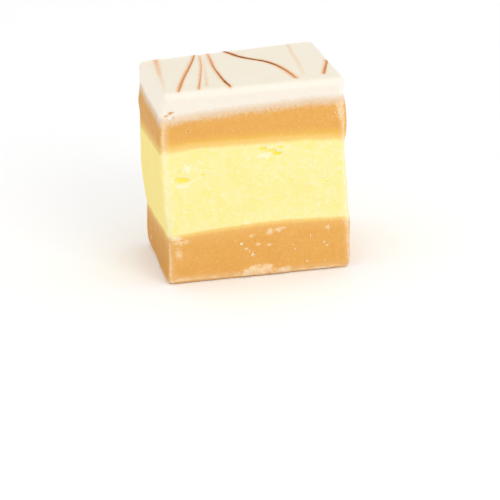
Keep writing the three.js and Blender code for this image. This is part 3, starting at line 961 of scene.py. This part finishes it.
LAYER_PAINT = (caramel_base_paint, yellow_paint, caramel_upper_paint, white_paint)
LAYER_SLOT = ("caramel", "yellow_fudge", "caramel", "white_fudge")

# ---- Chocolate lines

LINE_RING = 8  # points round a line's section
LINE_LIFT = 0.6  # a line's height over the top as a share of its half width
LINE_UNEVEN = 0.3  # how much its width wanders, as a share, over lumps of LINE_LUMP
LINE_LUMP = 0.8
LINE_TIP = 0.4  # how wide a line is at its very ends, as a share of its width
LINE_SWELL = 8  # how fast it widens from there along the line's whole length


def line_on_top(top_tree, line, seed):
    """The rings of one line, laid on the white skin's top, and the darkness of each."""
    curve, shares = line_curve(line.points)
    ahead = np.gradient(curve, axis=0)
    ahead /= np.linalg.norm(ahead, axis=1)[:, None]
    rings, dark = [], []
    for place, way, share in zip(curve, ahead, shares):
        above = Vector((*place, HIGH[2] + RAY_ABOVE))
        hit, _, _, _ = top_tree.ray_cast(above, Vector((0, 0, -1)))
        if hit is None:
            continue
        uneven = 1 + LINE_UNEVEN * noise.noise(Vector((*(place / LINE_LUMP), seed)))
        taper = min(1, LINE_TIP + LINE_SWELL * min(share, 1 - share))
        half = 0.5 * np.interp(share, (0, 1), line.width) * uneven * taper
        across = Vector((-way[1], way[0], 0))
        ring = []
        for corner in range(LINE_RING):
            angle = 2 * math.pi * corner / LINE_RING
            lift = LINE_LIFT * half * math.sin(angle)
            ring.append(hit + across * (half * math.cos(angle)) + Vector((0, 0, lift)))
        rings.append(ring)
        dark.append(np.interp(share, (0, 0.5, 1), line.dark))
    return rings, dark


def make_chocolate_lines(top_tree):
    points, faces, darkness = [], [], []
    for number, line in enumerate(LINES):
        if not any(line.width):
            continue
        rings, dark = line_on_top(top_tree, line, number)
        start = len(points)
        points.extend(point * MM for ring in rings for point in ring)
        darkness.extend(np.repeat(dark, LINE_RING))
        for n in range(len(rings) - 1):
            here, there = start + n * LINE_RING, start + (n + 1) * LINE_RING
            for corner in range(LINE_RING):
                after = (corner + 1) % LINE_RING
                faces.append([here + corner, there + corner, there + after, here + after])
        faces.append(list(range(start, start + LINE_RING)))
        faces.append(list(range(len(points) - 1, len(points) - 1 - LINE_RING, -1)))
    mesh = make_mesh("chocolate_lines", points, faces, {"dark": darkness})
    make_piece("chocolate_lines", mesh, chocolate_paint())


# ---- Crumbs

CRUMB_LOOKS = {
    "caramel": (srgb(232, 203, 160), srgb(237, 221, 193)),
    "yellow_fudge": (srgb(242, 235, 180), srgb(245, 241, 206)),
    "white_fudge": (srgb(231, 222, 205), srgb(234, 228, 216)),
}
CRUMB_SUNK = 0.3  # share of a crumb's thickness that is pressed into the fudge
CRUMB_TURN = 0.5  # how far crumbs are turned, in radians to each side
CRUMB_ROUGH = 0.6  # how far a crumb's surface departs from a ball's, as a share
CRUMB_FLAT = 0.3  # thickness of a crumb in a cluster as a share of its width
CLUSTER_SPREAD = 0.27  # how far the crumbs lie from the middle, as a share of the cluster's size


def crumb_ball():
    """The points and faces of a plain ball, as arrays."""
    build = bmesh.new()
    bmesh.ops.create_icosphere(build, subdivisions=2, radius=1.0)
    points = np.array([vertex.co for vertex in build.verts])
    faces = np.array([[vertex.index for vertex in face.verts] for face in build.faces])
    build.free()
    return points, faces


def cluster_crumbs(rng):
    """Every crumb of every cluster, as a mark of its own."""
    crumbs = []
    for cluster in CLUSTERS:
        for _ in range(round(cluster.amount)):
            along, up = rng.normal(0, CLUSTER_SPREAD, 2) * (cluster.wide, cluster.tall)
            wide = rng.uniform(*CRUMB_SIZE)
            tall = wide * rng.uniform(0.6, 1.3)
            crumbs.append(Mark(cluster.side, cluster.along + along, cluster.up + up, wide, tall,
                               CRUMB_FLAT * wide))
    return crumbs


def crumb_on_side(tree, crumb, ball, rng):
    """A crumb's points on the fudge, and the number of the face it lies on."""
    way = Vector((*SIDES[crumb.side], 0))
    axis = axis_of(crumb.side)
    place = Vector((0, 0, crumb.up))
    place[axis] = BLOCK_MIDDLE[axis] + crumb.along
    hit, normal, face, _ = tree.ray_cast(place + way * RAY_BESIDE, -way)
    if hit is None:
        return None, None
    across = normal.cross(Vector((0, 0, 1))).normalized()
    upright = across.cross(normal)
    turn = rng.uniform(-CRUMB_TURN, CRUMB_TURN)
    first = math.cos(turn) * across + math.sin(turn) * upright
    second = -math.sin(turn) * across + math.cos(turn) * upright
    rough = 1 + CRUMB_ROUGH * grain(ball + rng.uniform(0, 50, 3), 0.8, 1)
    local = ball * rough[:, None] * (crumb.wide / 2, crumb.tall / 2, crumb.amount / 2)
    middle = np.array(hit) + np.array(normal) * crumb.amount * (0.5 - CRUMB_SUNK)
    return middle + local @ np.array([first, second, normal]), face


def make_crumbs(tree, slot_of_face):
    """The crumbs on the sides, as one piece for each kind of fudge."""
    rng = np.random.default_rng(CRUMB_SEED)
    ball, ball_faces = crumb_ball()
    points = {slot: [] for slot in CRUMB_LOOKS}
    for crumb in (*CRUMBS, *cluster_crumbs(rng)):
        placed, face = crumb_on_side(tree, crumb, ball, rng)
        if placed is not None and placed[:, 2].min() > 0:
            points[slot_of_face[face]].append(placed)
    for slot, crumbs in points.items():
        if not crumbs:
            continue
        starts = len(ball) * np.arange(len(crumbs))
        faces = (ball_faces[None] + starts[:, None, None]).reshape(-1, 3)
        placed = (np.concatenate(crumbs) * MM).tolist()
        mesh = make_mesh(f"{slot}_crumbs", placed, faces.tolist())
        make_piece(f"{slot}_crumbs", mesh, crumb_paint(f"{slot}_crumb", *CRUMB_LOOKS[slot]))


# ---- Stage, light and camera

FLOOR_SIZE = 3000.0
KEY_LIGHT = {"place": (160, -420, 260), "size": 260, "power": 0.66}
CAMERA = {"azimuth": -10.7, "elevation": 19.7, "roll": -2.4, "distance": 400.0,
          "focal_pixels": 2398.0, "aim_height": 16.25, "aim_right": -1.12, "aim_up": 14.73}
PICTURE_PIXELS = 500
SENSOR = 36.0


def make_floor():
    half = FLOOR_SIZE / 2 * MM
    corners = [(-half, -half, 0), (half, -half, 0), (half, half, 0), (-half, half, 0)]
    mesh = make_mesh("floor", corners, [(0, 1, 2, 3)])
    paint = Paint("floor", srgb(248, 248, 248), roughness=0.9, specular=0.1)
    patchy = paint.noise(60.0, seed=20)
    paint.tint(srgb(250, 250, 250), patchy)
    mesh.materials.append(paint.finish(patchy, 0.0))
    floor = add_object("floor", mesh)


def light_scene():
    """An even white surrounding, and one soft light from the front right."""
    world = bpy.data.worlds.new("studio")
    world.use_nodes = True
    background = world.node_tree.nodes["Background"]
    background.inputs["Color"].default_value = (1.0, 1.0, 1.0, 1.0)
    background.inputs["Strength"].default_value = 1.0
    bpy.context.scene.world = world
    bpy.context.scene.view_settings.view_transform = "Standard"
    light = bpy.data.lights.new("key", "AREA")
    light.shape = "SQUARE"
    light.size = KEY_LIGHT["size"] * MM
    light.energy = KEY_LIGHT["power"]
    lamp = add_object("key", light)
    lamp.location = Vector(KEY_LIGHT["place"]) * MM
    to_middle = Vector((0, 0, HIGH[2] / 2)) * MM - lamp.location
    lamp.rotation_euler = to_middle.to_track_quat("-Z", "Y").to_euler()


def place_camera():
    azimuth, elevation, roll = (math.radians(CAMERA[k]) for k in ("azimuth", "elevation", "roll"))
    back = Vector((math.sin(azimuth) * math.cos(elevation),
                   -math.cos(azimuth) * math.cos(elevation), math.sin(elevation)))
    level = Vector((0, 0, 1)).cross(back).normalized()
    upright = back.cross(level)
    right = math.cos(roll) * level + math.sin(roll) * upright
    up = -math.sin(roll) * level + math.cos(roll) * upright
    aim = Vector((*BLOCK_MIDDLE, CAMERA["aim_height"]))
    place = aim + back * CAMERA["distance"] - right * CAMERA["aim_right"] - up * CAMERA["aim_up"]
    data = bpy.data.cameras.new("camera")
    data.sensor_width = SENSOR
    data.lens = CAMERA["focal_pixels"] * SENSOR / PICTURE_PIXELS
    camera = add_object("camera", data)
    turn = Matrix((right, up, back)).transposed()
    camera.matrix_world = Matrix.Translation(place * MM) @ turn.to_4x4()
    bpy.context.scene.camera = camera


# ---- Making it all

skins = [make_layer(number) for number in range(len(LAYERS))]
skin_tree, slot_of_face = tree_of(zip(skins, LAYER_SLOT))
make_chocolate_lines(skin_tree)
make_crumbs(skin_tree, slot_of_face)
make_floor()
light_scene()
place_camera()
